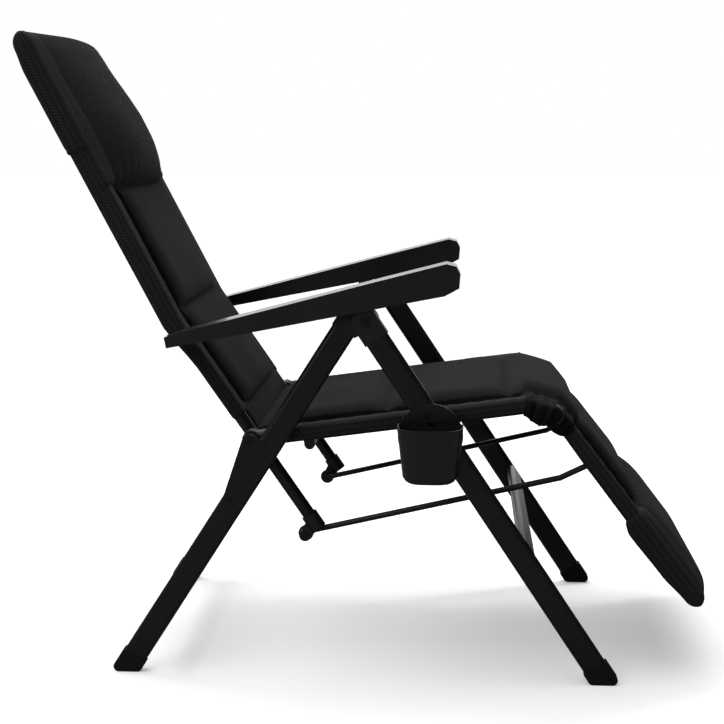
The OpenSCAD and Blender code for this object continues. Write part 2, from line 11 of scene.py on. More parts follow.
import bmesh
import bpy
import numpy as np
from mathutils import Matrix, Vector


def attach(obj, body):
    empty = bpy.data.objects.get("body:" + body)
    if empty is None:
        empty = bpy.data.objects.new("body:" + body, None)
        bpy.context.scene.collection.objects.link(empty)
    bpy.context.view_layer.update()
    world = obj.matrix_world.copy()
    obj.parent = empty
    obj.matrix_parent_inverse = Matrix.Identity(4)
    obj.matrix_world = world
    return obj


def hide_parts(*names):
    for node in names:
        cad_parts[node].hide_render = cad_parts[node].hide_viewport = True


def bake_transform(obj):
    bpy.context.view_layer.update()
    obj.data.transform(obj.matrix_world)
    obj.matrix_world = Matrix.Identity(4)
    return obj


bl_info = {
    "name": "Reclining Lounge Chair",
    "version": (1, 0, 0),
    "blender": (4, 5, 0),
    "location": "3D View > Sidebar > Lounge Chair",
    "description": "Builds the covers, finishes and studio of a folding lounge chair",
    "category": "Add Mesh",
}

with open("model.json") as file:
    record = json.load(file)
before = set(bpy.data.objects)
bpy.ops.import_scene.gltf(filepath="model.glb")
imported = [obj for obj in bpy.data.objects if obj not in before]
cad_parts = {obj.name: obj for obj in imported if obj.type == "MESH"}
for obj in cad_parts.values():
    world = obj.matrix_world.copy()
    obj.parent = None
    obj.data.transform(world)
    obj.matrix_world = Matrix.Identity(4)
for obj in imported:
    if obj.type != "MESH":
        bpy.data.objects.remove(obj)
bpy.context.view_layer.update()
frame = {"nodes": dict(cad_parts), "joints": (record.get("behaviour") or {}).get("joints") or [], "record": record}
PIVOT = {j["name"]: np.array([j["pos_m"][0], j["pos_m"][2]]) for j in frame["joints"]}

# Directions of the rails in the side view, in degrees from +X towards +Z
SEAT_RISE = 7.6
KNEE_FALL = -15.4
BACK_LEAN = 124.5
TOP_LEAN = 117.5
FOOT_FALL = -52.5

SEAT_BEND = 0.453      # back hinge to the bend in the seat rail
KNEE = 0.505           # back hinge to the knee, along the seat rail
BACK_BEND = 0.235      # back hinge to the bend in the back rail
ONWARD = 0.5           # a path's last run, which has no end
SEAT_HALF = 0.2575     # middle plane to a seat rail
BACK_HALF = 0.232      # middle plane to a back or footrest rail
PILLOW_LOW = 0.475     # back hinge to the head pillow's lower seam
FLAP_LOW = 0.548       # back hinge to the lower edge of its flap behind the back
PILLOW_TOP = 0.767     # back hinge to its top
END_LOW = 0.215        # knee to the start of the footrest's thicker end
END_TOP = 0.411        # knee to the footrest's edge
KNEE_START = 0.446     # back hinge to the start of the knee cover
KNEE_END = 0.552       # back hinge to its end, past the knee
CORNER_REACH = 0.062   # length of each piece of the corner cover from the back hinge
CORNER_HALF = 0.211    # middle plane to the corner cover's rounded edge
LAP = 0.0002           # by which two pieces of one cover overlap where they meet


# ---- settings ---------------------------------------------------------------------------


class CoverSettings(bpy.types.PropertyGroup):
    """Sizes and colours of the padded covers."""

    cloth: bpy.props.FloatVectorProperty(
        name="Cloth", description="Colour of the padded panels", subtype="COLOR",
        size=3, min=0, max=1, default=(0.0048, 0.0046, 0.0050))
    mesh_cloth: bpy.props.FloatVectorProperty(
        name="Sleeve cloth", description="Colour of the knitted sleeves round the rails",
        subtype="COLOR", size=3, min=0, max=1, default=(0.0085, 0.0085, 0.0094))
    seat_crown: bpy.props.FloatProperty(
        name="Seat crown", description="Rise of the seat's padding over its seams",
        unit="LENGTH", default=0.019, min=0.005, max=0.05)
    back_crown: bpy.props.FloatProperty(
        name="Back crown", description="Rise of the back's padding over its seams",
        unit="LENGTH", default=0.0165, min=0.005, max=0.04)
    pillow_crown: bpy.props.FloatProperty(
        name="Pillow crown", description="Height of the head pillow over the back rails",
        unit="LENGTH", default=0.062, min=0.03, max=0.075)
    foot_crown: bpy.props.FloatProperty(
        name="Footrest crown", description="Rise of the footrest's padding over its seams",
        unit="LENGTH", default=0.022, min=0.005, max=0.04)
    gather: bpy.props.FloatProperty(
        name="Knee gathers", description="Height of the folds in the cloth at the knees",
        unit="LENGTH", default=0.0024, min=0, max=0.006)


class FrameSettings(bpy.types.PropertyGroup):
    """Finishes of the tubes, moulded parts and bolts."""

    paint: bpy.props.FloatVectorProperty(
        name="Paint", description="Colour of the powder coat", subtype="COLOR",
        size=3, min=0, max=1, default=(0.0018, 0.0018, 0.0020))
    plastic: bpy.props.FloatVectorProperty(
        name="Plastic", description="Colour of the moulded hinges", subtype="COLOR",
        size=3, min=0, max=1, default=(0.0050, 0.0050, 0.0053))
    armrest: bpy.props.FloatVectorProperty(
        name="Armrest", description="Colour of the armrests", subtype="COLOR",
        size=3, min=0, max=1, default=(0.0032, 0.0033, 0.0042))
    cup: bpy.props.FloatVectorProperty(
        name="Cup holder", description="Colour of the cup holder", subtype="COLOR",
        size=3, min=0, max=1, default=(0.0052, 0.0052, 0.0054))
    gloss: bpy.props.FloatProperty(
        name="Paint roughness", description="Roughness of the powder coat", default=0.36,
        min=0.05, max=1)


class StudioSettings(bpy.types.PropertyGroup):
    """Camera and light."""

    camera: bpy.props.FloatVectorProperty(
        name="Camera", description="Place of the camera", subtype="TRANSLATION",
        size=3, default=(0.150, -2.808, 0.9015))
    ahead: bpy.props.FloatVectorProperty(
        name="View", description="Direction the camera looks in", subtype="DIRECTION",
        size=3, default=(-0.0596, 0.9876, -0.1453))
    lens: bpy.props.FloatProperty(
        name="Lens", description="Focal length on a 36 mm sensor, in mm", default=78.2)
    room: bpy.props.FloatProperty(
        name="Room light", description="Strength of the even light on the chair",
        default=0.08, min=0)
    power: bpy.props.FloatProperty(
        name="Lamp power", description="Factor on the power of all lamps", default=1.0, min=0)


def settings():
    """The three groups of settings of the scene."""
    s = bpy.context.scene
    return s.chair_covers, s.chair_frame, s.chair_studio


# ---- paths and surfaces -----------------------------------------------------------------


def smooth(x):
    """3x^2 - 2x^3 of x held between 0 and 1."""
    x = np.clip(x, 0, 1)
    return x * x * (3 - 2 * x)


def puff(d, w):
    """A quarter circle: 0 at d = 0 with a steep start, and 1 from d = w on."""
    x = np.clip(d / w, 0, 1)
    return np.sqrt(1 - (1 - x) ** 2)


def heading(degrees):
    """Unit vectors (x, z) at these angles from +X towards +Z."""
    a = np.radians(degrees)
    return np.stack([np.cos(a), np.sin(a)], -1)


def rail_path(start, runs, bend=0.03):
    """A side-view path from start through runs of (length, angle).

    Returns f(s) -> points and angles. A point is the sum of the runs up to s, and the angle
    turns from one run's to the next by smooth() over the bend's length on both sides."""
    lengths = np.array([r[0] for r in runs])
    angles = np.array([r[1] for r in runs], float)
    ends = np.concatenate([[0], np.cumsum(lengths)])

    def at(s):
        s = np.asarray(s, float)
        p = np.zeros(s.shape + (2,)) + start
        a = np.zeros(s.shape) + angles[0]
        for i in range(len(lengths)):
            low = -np.inf if i == 0 else ends[i]
            high = np.inf if i == len(lengths) - 1 else ends[i + 1]
            part = np.clip(s, low, high) - (0 if i == 0 else ends[i])
            p = p + part[..., None] * heading(angles[i])
            if i:
                a = a + (angles[i] - angles[i - 1]) * smooth((s - ends[i] + bend) / (2 * bend))
        return p, a

    return at


def place(path, s, y, n, flip=1):
    """Points at s along the path, y across the chair and n out of the path's plane.

    n counts along the path's left normal times flip. s, y and n are grids of one shape."""
    p, a = path(s)
    nx = heading(a + 90) * flip
    q = p + n[..., None] * nx
    return np.stack([q[..., 0], y, q[..., 1]], -1)


def skin(name, grid, u=None, around=False, close=False):
    """A mesh over a grid of points (rows, columns, 3), with its UV map in metres.

    Row i and column j meet row i+1 and column j+1 in one four-sided face. The map's first
    coordinate runs across the rows, and its second is u, or the length along the columns. With
    around, the last column joins the first. With close, points that coincide are merged and the
    normals are turned outwards."""
    rows, cols = grid.shape[:2]
    i = np.arange(rows - 1)[:, None]
    j = np.arange(cols if around else cols - 1)[None, :]
    k = (j + 1) % cols
    quads = np.stack([i * cols + j, i * cols + k, (i + 1) * cols + k, (i + 1) * cols + j], -1)
    quads = quads.reshape(-1, 4)
    mesh = bpy.data.meshes.new(name)
    mesh.vertices.add(rows * cols)
    mesh.vertices.foreach_set("co", np.ascontiguousarray(grid, dtype=np.float32).ravel())
    mesh.loops.add(quads.size)
    mesh.loops.foreach_set("vertex_index", quads.ravel().astype(np.int32))
    mesh.polygons.add(len(quads))
    mesh.polygons.foreach_set("loop_start", np.arange(0, quads.size, 4, dtype=np.int32))
    if u is None:
        step = np.linalg.norm(np.diff(grid, axis=0), axis=-1).mean(1)
        u = np.concatenate([[0], np.cumsum(step)])
    around_grid = np.concatenate([grid, grid[:, :1]], 1) if around else grid
    step = np.linalg.norm(np.diff(around_grid, axis=1), axis=-1).mean(0)
    v = np.concatenate([[0], np.cumsum(step)])
    v = v - v[-1] / 2
    uu = np.stack([u[i + 0 * j], u[i + 0 * j], u[i + 1 + 0 * j], u[i + 1 + 0 * j]], -1)
    vv = np.stack([v[j + 0 * i], v[j + 1 + 0 * i], v[j + 1 + 0 * i], v[j + 0 * i]], -1)
    layer = mesh.uv_layers.new(name="Cloth")
    layer.data.foreach_set("uv", np.stack([vv, uu], -1).astype(np.float32).ravel())
    mesh.update(calc_edges=True)
    mesh.validate()
    mesh.shade_smooth()
    piece = bpy.data.objects.new(name, mesh)
    bpy.context.scene.collection.objects.link(piece)
    if close:
        tidy(piece)
    return piece


def tidy(piece, gap=2e-5):
    """Merges points that coincide and turns a closed piece's faces outwards."""
    bm = bmesh.new()
    bm.from_mesh(piece.data)
    bmesh.ops.remove_doubles(bm, verts=bm.verts, dist=gap)
    bmesh.ops.dissolve_degenerate(bm, dist=1e-7, edges=bm.edges)
    bmesh.ops.recalc_face_normals(bm, faces=bm.faces)
    bm.to_mesh(piece.data)
    bm.free()
    piece.data.shade_smooth()
    return piece


def section(columns=90, arc=9):
    """Parameters around a cover's section: y as a share of the half width, how far the rounded
    edge stands out and how high it is as shares of its radii, and which side each column is on.

    Front columns (kind 1) run from one rail to the other, a rounded edge goes round the rail
    (kind 0), rear columns (kind -1) run back, and a second edge closes the loop. An edge is a half
    circle whose sine and cosine are raised to 0.6, which flattens its side."""
    across = np.sin(np.linspace(-0.5, 0.5, columns) * np.pi)
    turn = np.linspace(0, np.pi, 2 * arc + 1)[1:-1]
    up = np.sign(np.cos(turn)) * np.abs(np.cos(turn)) ** 0.6
    y = np.concatenate([across, np.ones(len(turn)), -across, -np.ones(len(turn))])
    out = np.concatenate([0 * across, np.sin(turn) ** 0.6, 0 * across, np.sin(turn) ** 0.6])
    n = np.concatenate([across * 0, up, across * 0, -up])
    kind = np.concatenate([across * 0 + 1, turn * 0, across * 0 - 1, turn * 0])
    return y, out, n, kind


def padded_cover(name, path, s, half, edge, front, rear, flip, ends=(0.012, 0.012)):
    """A closed cover drawn over two rails.

    At s and y the front lies front(s, y) and the rear rear(s, y) out of the rails' plane, both
    for |y| < half, a number or one for each s. Beyond, the cloth goes round each rail in an oval
    whose front, rear and side radii are edge(s). Towards an end the thickness falls by puff() over
    that end's length."""
    y, out, n, kind = section()
    S = s[:, None] + 0 * y
    wide = np.broadcast_to(half, s.shape)[:, None]
    ahead, behind, beside = (e[:, None] + 0 * y for e in edge(s))
    Y = y * wide + out * np.sign(y) * beside
    N = np.where(n > 0, n * ahead, n * behind)
    N = np.where(kind == 1, front(S, Y), N)
    N = np.where(kind == -1, rear(S, Y), N)
    lip = puff(S - s[0], ends[0]) * puff(s[-1] - S, ends[1])
    pull = (1 - lip) * beside * 0.6
    Y = Y - np.sign(Y) * np.where(np.abs(Y) > wide * 0.9, pull, 0)
    return skin(name, place(path, S, Y, N * lip, flip), u=s, around=True, close=True)


def stations(low, high, step=0.005, fine=0.012, count=7):
    """Places along a path, closer together near both ends."""
    edge = fine * (1 - np.cos(np.linspace(0, np.pi / 2, count)))
    middle = np.arange(low + fine + step / 2, high - fine, step)
    return np.concatenate([low + edge, middle, high - edge[::-1]])


def pucker(s, y, seams, side, depth=0.0007):
    """Small folds along the seams: waves along each seam that fade within 15 mm of it."""
    total = np.zeros(np.broadcast(s, y).shape)
    for k, seam in enumerate(seams):
        wave = np.sin(2 * np.pi * y / 0.021 + k) + 0.6 * np.sin(2 * np.pi * y / 0.0133 + 2 * k + 1)
        total = total + wave * np.exp(-np.abs(s - seam) / 0.012)
    wave = np.sin(2 * np.pi * s / 0.024) + 0.6 * np.sin(2 * np.pi * s / 0.0151 + 1)
    total = total + wave * np.exp(-np.abs(np.abs(y) - side) / 0.012)
    return depth * total


def quilt(s, y, seams, side, crown, soft=0.05, edge=0.05):
    """Height of a quilted panel: crown times a puff() from each cross seam and from the side
    seams, with slow swells so that no two panels are alike."""
    d = np.min([np.abs(s - q) for q in seams], axis=0)
    swell = 1 + 0.06 * np.sin(5.1 * y / side + 9 * s) * np.sin(17 * s + 2 * y)
    return crown * puff(d, soft) ** 0.8 * puff(side - np.abs(y), edge) ** 0.8 * swell


# ---- materials --------------------------------------------------------------------------


def group(name, inputs, outputs):
    """A shader node group with these sockets, as (name, type, default)."""
    g = bpy.data.node_groups.new(name, "ShaderNodeTree")
    for n, kind, value in inputs:
        s = g.interface.new_socket(n, in_out="INPUT", socket_type=kind)
        if value is not None:
            s.default_value = value
    for n, kind in outputs:
        g.interface.new_socket(n, in_out="OUTPUT", socket_type=kind)
    return g, g.nodes.new("NodeGroupInput"), g.nodes.new("NodeGroupOutput")


def math_node(tree, op, a, b=None):
    """A Math node; a and b are sockets or numbers. Returns its output."""
    n = tree.nodes.new("ShaderNodeMath")
    n.operation = op
    for i, x in enumerate((a, b)):
        if x is None:
            continue
        if isinstance(x, (int, float)):
            n.inputs[i].default_value = x
        else:
            tree.links.new(x, n.inputs[i])
    return n.outputs[0]


def weave_group():
    """Plain weave: two families of round threads that pass over and under each other.

    With u and v counted in threads, the height is |sin(pi u)| where sin(pi u / 2) sin(pi v / 2)
    is positive, and |sin(pi v)| elsewhere. The shade adds slow noise to the height."""
    name = "Woven threads"
    if name in bpy.data.node_groups:
        return bpy.data.node_groups[name]
    g, a, b = group(
        name,
        [("Cloth", "NodeSocketVector", None), ("Thread", "NodeSocketFloat", 0.0011)],
        [("Height", "NodeSocketFloat"), ("Shade", "NodeSocketFloat")])
    sep = g.nodes.new("ShaderNodeSeparateXYZ")
    g.links.new(a.outputs["Cloth"], sep.inputs[0])
    u = math_node(g, "DIVIDE", sep.outputs[0], a.outputs["Thread"])
    v = math_node(g, "DIVIDE", sep.outputs[1], a.outputs["Thread"])
    su = math_node(g, "ABSOLUTE", math_node(g, "SINE", math_node(g, "MULTIPLY", u, math.pi)))
    sv = math_node(g, "ABSOLUTE", math_node(g, "SINE", math_node(g, "MULTIPLY", v, math.pi)))
    over = math_node(g, "MULTIPLY",
                     math_node(g, "SINE", math_node(g, "MULTIPLY", u, math.pi / 2)),
                     math_node(g, "SINE", math_node(g, "MULTIPLY", v, math.pi / 2)))
    pick = math_node(g, "GREATER_THAN", over, 0.0)
    one = math_node(g, "MULTIPLY", pick, su)
    other = math_node(g, "MULTIPLY", math_node(g, "SUBTRACT", 1.0, pick), sv)
    height = math_node(g, "ADD", one, other)
    noise = g.nodes.new("ShaderNodeTexNoise")
    noise.inputs["Scale"].default_value = 38
    noise.inputs["Detail"].default_value = 3
    g.links.new(a.outputs["Cloth"], noise.inputs["Vector"])
    # Shade: the thread height plus slow noise. As colour it is painted shade between the threads and a painted
    # highlight on their crowns, with an uneven tone from the noise.
    shade = math_node(g, "ADD", math_node(g, "MULTIPLY", height, 0.55),
                      math_node(g, "MULTIPLY", noise.outputs[0], 0.6))
    g.links.new(height, b.inputs["Height"])
    g.links.new(shade, b.inputs["Shade"])
    return g


def knit_group():
    """Spacer knit: slanted ribs that change their lean from one column to the next.

    The height is |sin(pi (v + zigzag(u)) / pitch)| to the power 0.6, halved towards the edges of
    each column by |sin(pi u / column)|."""
    name = "Knitted ribs"
    if name in bpy.data.node_groups:
        return bpy.data.node_groups[name]
    g, a, b = group(
        name,
        [("Cloth", "NodeSocketVector", None), ("Pitch", "NodeSocketFloat", 0.0042),
         ("Column", "NodeSocketFloat", 0.0062)],
        [("Height", "NodeSocketFloat"), ("Shade", "NodeSocketFloat")])
    sep = g.nodes.new("ShaderNodeSeparateXYZ")
    g.links.new(a.outputs["Cloth"], sep.inputs[0])
    zig = math_node(g, "PINGPONG", sep.outputs[0], a.outputs["Column"])
    lean = math_node(g, "ADD", sep.outputs[1], zig)
    rib = math_node(g, "ABSOLUTE", math_node(
        g, "SINE", math_node(g, "MULTIPLY", math_node(g, "DIVIDE", lean, a.outputs["Pitch"]),
                             math.pi)))
    column = math_node(g, "ABSOLUTE", math_node(
        g, "SINE", math_node(g, "MULTIPLY", math_node(g, "DIVIDE", sep.outputs[0],
                                                      a.outputs["Column"]), math.pi)))
    height = math_node(g, "MULTIPLY", math_node(g, "POWER", rib, 0.6),
                       math_node(g, "ADD", math_node(g, "MULTIPLY", column, 0.5), 0.5))
    g.links.new(height, b.inputs["Height"])
    # Shade: the rib height. As colour it is painted shade in the grooves and between columns, and a painted
    # highlight on the ribs.
    g.links.new(math_node(g, "ADD", math_node(g, "MULTIPLY", height, 0.9), 0.1), b.inputs["Shade"])
    return g


def grain_group():
    """Fine grain over broad mottling: two noises of different scale."""
    name = "Surface grain"
    if name in bpy.data.node_groups:
        return bpy.data.node_groups[name]
    g, a, b = group(
        name,
        [("Place", "NodeSocketVector", None), ("Fine", "NodeSocketFloat", 900.0),
         ("Broad", "NodeSocketFloat", 14.0)],
        [("Height", "NodeSocketFloat"), ("Mottle", "NodeSocketFloat"),
         ("Scuff", "NodeSocketFloat")])
    fine = g.nodes.new("ShaderNodeTexNoise")
    broad = g.nodes.new("ShaderNodeTexNoise")
    scuff = g.nodes.new("ShaderNodeTexNoise")
    for n, d in ((fine, 2), (broad, 4), (scuff, 6)):
        n.inputs["Detail"].default_value = d
        g.links.new(a.outputs["Place"], n.inputs["Vector"])
    g.links.new(a.outputs["Fine"], fine.inputs["Scale"])
    g.links.new(a.outputs["Broad"], broad.inputs["Scale"])
    scuff.inputs["Scale"].default_value = 55
    scuff.inputs["Roughness"].default_value = 0.75
    g.links.new(fine.outputs[0], b.inputs["Height"])
    g.links.new(broad.outputs[0], b.inputs["Mottle"])
    ramp = g.nodes.new("ShaderNodeMapRange")
    ramp.inputs["From Min"].default_value = 0.62
    ramp.inputs["From Max"].default_value = 0.78
    g.links.new(scuff.outputs[0], ramp.inputs["Value"])
    g.links.new(ramp.outputs[0], b.inputs["Scuff"])
    return g


def start_material(name):
    """A material with its Principled shader: (material, tree, shader)."""
    m = bpy.data.materials.new(name)
    m.use_nodes = True
    t = m.node_tree
    return m, t, t.nodes["Principled BSDF"]


def mix_colour(tree, factor, a, b):
    """A colour between a and b by factor; a and b are colours."""
    n = tree.nodes.new("ShaderNodeMix")
    n.data_type = "RGBA"
    tree.links.new(factor, n.inputs[0])
    n.inputs[6].default_value = (*a, 1)
    n.inputs[7].default_value = (*b, 1)
    return n.outputs[2]


def scaled(colour, k):
    """The colour times k."""
    return tuple(min(1.0, c * k) for c in colour)


def spread(tree, value, low, high):
    """value from 0..1 mapped to low..high."""
    n = tree.nodes.new("ShaderNodeMapRange")
    n.inputs["To Min"].default_value = low
    n.inputs["To Max"].default_value = high
    tree.links.new(value, n.inputs["Value"])
    return n.outputs[0]


def bump(tree, shader, height, distance, strength=1.0, under=None):
    """A Bump node on the shader's normal."""
    n = tree.nodes.new("ShaderNodeBump")
    n.inputs["Distance"].default_value = distance
    n.inputs["Strength"].default_value = strength
    tree.links.new(height, n.inputs["Height"])
    if under is not None:
        tree.links.new(under, n.inputs["Normal"])
    tree.links.new(n.outputs[0], shader.inputs["Normal"])
    return n.outputs[0]


def cloth_material(name, colour, kind, size, sheen=0.03, rough=0.88):
    """Woven or knitted cloth on the piece's own UV map."""
    m, t, p = start_material(name)
    uv = t.nodes.new("ShaderNodeUVMap")
    uv.uv_map = "Cloth"
    g = t.nodes.new("ShaderNodeGroup")
    g.node_tree = weave_group() if kind == "woven" else knit_group()
    t.links.new(uv.outputs[0], g.inputs["Cloth"])
    if kind == "woven":
        g.inputs["Thread"].default_value = size
    else:
        g.inputs["Pitch"].default_value = size
        g.inputs["Column"].default_value = size * 1.5
    # Colour runs from dark to light with the shade: painted shade in the cloth's hollows and a painted highlight
    # on its crowns.
    low, high = (0.45, 1.75) if kind == "woven" else (0.25, 4.2)
    t.links.new(mix_colour(t, g.outputs["Shade"], scaled(colour, low), scaled(colour, high)),
                p.inputs["Base Color"])
    t.links.new(spread(t, g.outputs["Height"], rough + 0.06, rough - 0.05), p.inputs["Roughness"])
    p.inputs["Sheen Weight"].default_value = sheen
    p.inputs["Sheen Roughness"].default_value = 0.45
    p.inputs["Sheen Tint"].default_value = (0.75, 0.77, 0.8, 1)
    p.inputs["Specular IOR Level"].default_value = 0.12
    bump(t, p, g.outputs["Height"], size * (0.3 if kind == "woven" else 0.22), 0.8)
    return m


def hard_material(name, colour, rough, fine, depth, metal=0.0, coat=0.0, scuffed=1.6, spec=0.5):
    """Paint, moulded plastic, rubber or plated steel: grain in the normal, mottled roughness."""
    m, t, p = start_material(name)
    where = t.nodes.new("ShaderNodeTexCoord")
    g = t.nodes.new("ShaderNodeGroup")
    g.node_tree = grain_group()
    g.inputs["Fine"].default_value = fine
    t.links.new(where.outputs["Object"], g.inputs["Place"])
    t.links.new(mix_colour(t, g.outputs["Scuff"], colour, scaled(colour, scuffed)),
                p.inputs["Base Color"])
    t.links.new(spread(t, g.outputs["Mottle"], rough - 0.06, rough + 0.07), p.inputs["Roughness"])
    p.inputs["Metallic"].default_value = metal
    p.inputs["Coat Weight"].default_value = coat
    p.inputs["Coat Roughness"].default_value = 0.12
    p.inputs["Specular IOR Level"].default_value = spec
    bump(t, p, g.outputs["Height"], depth, 0.6)
    return m


def dress(piece, material):
    """The material on every slot of the piece."""
    piece.data.materials.clear()
    piece.data.materials.append(material)


# ---- covers -----------------------------------------------------------------------------

def back_path():
    """The back rail from its hinge: the lower lean, then the upper one."""
    return rail_path(PIVOT["recline"], [(BACK_BEND, BACK_LEAN), (ONWARD, TOP_LEAN)], 0.035)


def seat_path():
    """The seat rail from the back hinge over its bend and the knee down the footrest."""
    runs = [(SEAT_BEND, SEAT_RISE), (KNEE - SEAT_BEND, KNEE_FALL), (ONWARD, FOOT_FALL)]
    return rail_path(PIVOT["recline"], runs, 0.03)


def foot_path():
    """The footrest rail from the knee."""
    return rail_path(PIVOT["footrest_recline"], [(ONWARD, FOOT_FALL)])


def corner_path():
    """Down the back rail to the back hinge, then forward along the seat."""
    start = PIVOT["recline"] + CORNER_REACH * heading(BACK_LEAN)
    runs = [(CORNER_REACH, BACK_LEAN - 180), (ONWARD, SEAT_RISE)]
    return rail_path(start, runs, 0.04)


def between(s, points):
    """A value at s: smooth() steps from one (s, value) point to the next."""
    total = np.zeros(np.shape(s)) + points[0][1]
    for (s0, v0), (s1, v1) in zip(points, points[1:]):
        total = total + (v1 - v0) * smooth((s - s0) / (s1 - s0))
    return total


def finish_cover(piece, material):
    """Material of a cover, in its one slot."""
    dress(piece, material)
    return piece


def knit_sides(piece, side):
    """Gives a woven piece knitted cloth on its faces further than side from the middle plane."""
    piece.data.materials.append(cloths()[1])
    count = len(piece.data.polygons)
    centres = np.empty(count * 3, np.float32)
    piece.data.polygons.foreach_get("center", centres)
    knitted = np.abs(centres.reshape(-1, 3)[:, 1]) > side
    piece.data.polygons.foreach_set("material_index", knitted.astype(np.int32))


def cloths():
    """The two cloths of the covers, each made once: (woven, knitted)."""
    covers, _, _ = settings()
    made = bpy.data.materials
    woven = made.get("Woven cloth") or cloth_material(
        "Woven cloth", covers.cloth, "woven", 0.0016)
    knitted = made.get("Knitted cloth") or cloth_material(
        "Knitted cloth", covers.mesh_cloth, "knit", 0.0056)
    return woven, knitted


def sleeve_front(y, side, half, r, low):
    """Front of the knitted sleeve: r over the rail, down to low at the side seam, where
    the panel takes over."""
    return low + (r - low) * smooth((np.abs(y) - side) / (half - side)) ** 0.7


def cover_pair(name, path, low, high, half, edge, flip, seams, side, crown, body, nodes,
               ends=(0.010, 0.010)):
    """A knitted sleeve piece over both rails and the quilted panel on it.

    The sleeve is a closed cover whose front dips to the side seam. The panel is a second closed
    form on it, from side seam to side seam, crowned by quilt() and gathered by pucker()."""
    woven, knitted = cloths()
    dip = 0.0085

    def front(s, y):
        """The sleeve's front with waves along it, and a shallow bed under the panel."""
        inside = dip - 0.007 * puff(side - np.abs(y), 0.03)
        outside = sleeve_front(y, side, half, edge(s)[0], dip)
        drawn = 0.0006 * np.sin(2 * np.pi * s / 0.031 + 40 * y) * puff(np.abs(y) - side, 0.02)
        return np.where(np.abs(y) > side, outside + drawn, inside)

    def rear(s, y):
        """Behind the rails at the sides, drawn up to 6 mm behind their plane in the middle."""
        behind = edge(s)[1]
        return -behind + (behind - 0.006) * puff(half - np.abs(y), 0.05) ** 1.5

    sleeve = padded_cover(name + "_sleeve", path, stations(low, high), half, edge, front, rear,
                          flip, ends)

    def top(s, y):
        """The quilted panel, which starts just under the side seam."""
        return dip - 0.001 + quilt(s, y, seams, side, crown) + pucker(s, y, seams, side)

    def under(s, y):
        """A flat underside, hidden in the sleeve."""
        return 0 * s - 0.003

    panel = padded_cover(name + "_panel", path, stations(low + 0.004, high - 0.004, 0.004),
                         side - 0.003, lambda s: [0 * s + 0.003] * 3, top, under, flip,
                         (0.006, 0.006))
    for piece, cloth in ((sleeve, knitted), (panel, woven)):
        finish_cover(piece, cloth)
        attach(piece, body)
    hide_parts(*nodes)
    return sleeve, panel


class CHAIR_OT_seat_cover(bpy.types.Operator):
    """Builds the seat's padded cover."""

    bl_idname = "chair.seat_cover"
    bl_label = "Seat cover"

    def execute(self, context):
        covers, _, _ = settings()
        cover_pair("seat", seat_path(), 0.034, 0.462, SEAT_HALF,
                   lambda s: [0 * s + 0.0142, 0 * s + 0.0138, 0 * s + 0.0138], 1,
                   [0.044, 0.227, 0.431, 0.475], 0.215, covers.seat_crown, "seat",
                   ["seat_cushion"])
        return {"FINISHED"}


class CHAIR_OT_back_cover(bpy.types.Operator):
    """Builds the back's padded cover."""

    bl_idname = "chair.back_cover"
    bl_label = "Back cover"

    def execute(self, context):
        covers, _, _ = settings()

        def edge(s):
            """Thin at the hinge, and thicker behind the rails above the bend."""
            behind = between(s, [(0.04, 0.0120), (0.14, 0.0125), (0.235, 0.0205), (0.5, 0.0215)])
            return [0 * s + 0.0128, behind, 0 * s + 0.0128]

        cover_pair("back", back_path(), 0.036, 0.575, BACK_HALF, edge, -1,
                   [0.046, 0.245, 0.475, 0.70], 0.190, covers.back_crown, "back",
                   ["lower_back_cushion", "upper_back_cushion"])
        return {"FINISHED"}


class CHAIR_OT_head_pillow(bpy.types.Operator):
    """Builds the pillow drawn over the top of the back, with its flap behind."""

    bl_idname = "chair.head_pillow"
    bl_label = "Head pillow"

    def execute(self, context):
        covers, _, _ = settings()
        rise = covers.pillow_crown - 0.014

        def edge(s):
            """Only in front of the rails below the flap, and all round them from there up."""
            wrapped = smooth((s - FLAP_LOW) / 0.006)
            behind = 0.003 + wrapped * between(s, [(0.56, 0.0215), (0.70, 0.0215), (0.75, 0.0165)])
            hem = 0.0010 * np.exp(-((s - FLAP_LOW - 0.014) / 0.003) ** 2)
            return [0 * s + 0.0165, behind - hem * wrapped, 0.0135 + 0.0030 * wrapped - hem]

        def front(s, y):
            """A dome over y that rises at the lower seam and falls off towards the top, with
            tucks at the seam and soft dents."""
            along = puff(s - PILLOW_LOW, 0.085) * puff(PILLOW_TOP - s, 0.055)
            fall = 1 - 0.42 * np.clip((s - 0.590) / 0.15, 0, 1)
            dome = 1 - (np.abs(y) / BACK_HALF) ** 2.4
            tuck = 0.0014 * np.sin(2 * np.pi * y / 0.036 + 2) * np.exp(-(s - PILLOW_LOW) / 0.022)
            soft = 0.0010 * np.sin(21 * y + 30 * s) * np.sin(13 * s - 9 * y)
            return 0.0140 + rise * along * fall * dome + (tuck + soft) * puff(dome, 0.4)

        def rear(s, y):
            """The flap, drawn in by 4 mm between the rails."""
            behind = edge(s)[1]
            return -behind + 0.004 * puff(BACK_HALF - np.abs(y), 0.12)

        pillow = padded_cover("head_pillow_cover", back_path(),
                              stations(PILLOW_LOW, PILLOW_TOP, 0.004, 0.02, 10),
                              BACK_HALF, edge, front, rear, -1, (0.012, 0.024))
        finish_cover(pillow, cloths()[0])
        knit_sides(pillow, BACK_HALF - 0.028)
        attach(pillow, "back")
        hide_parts("head_pillow")
        return {"FINISHED"}


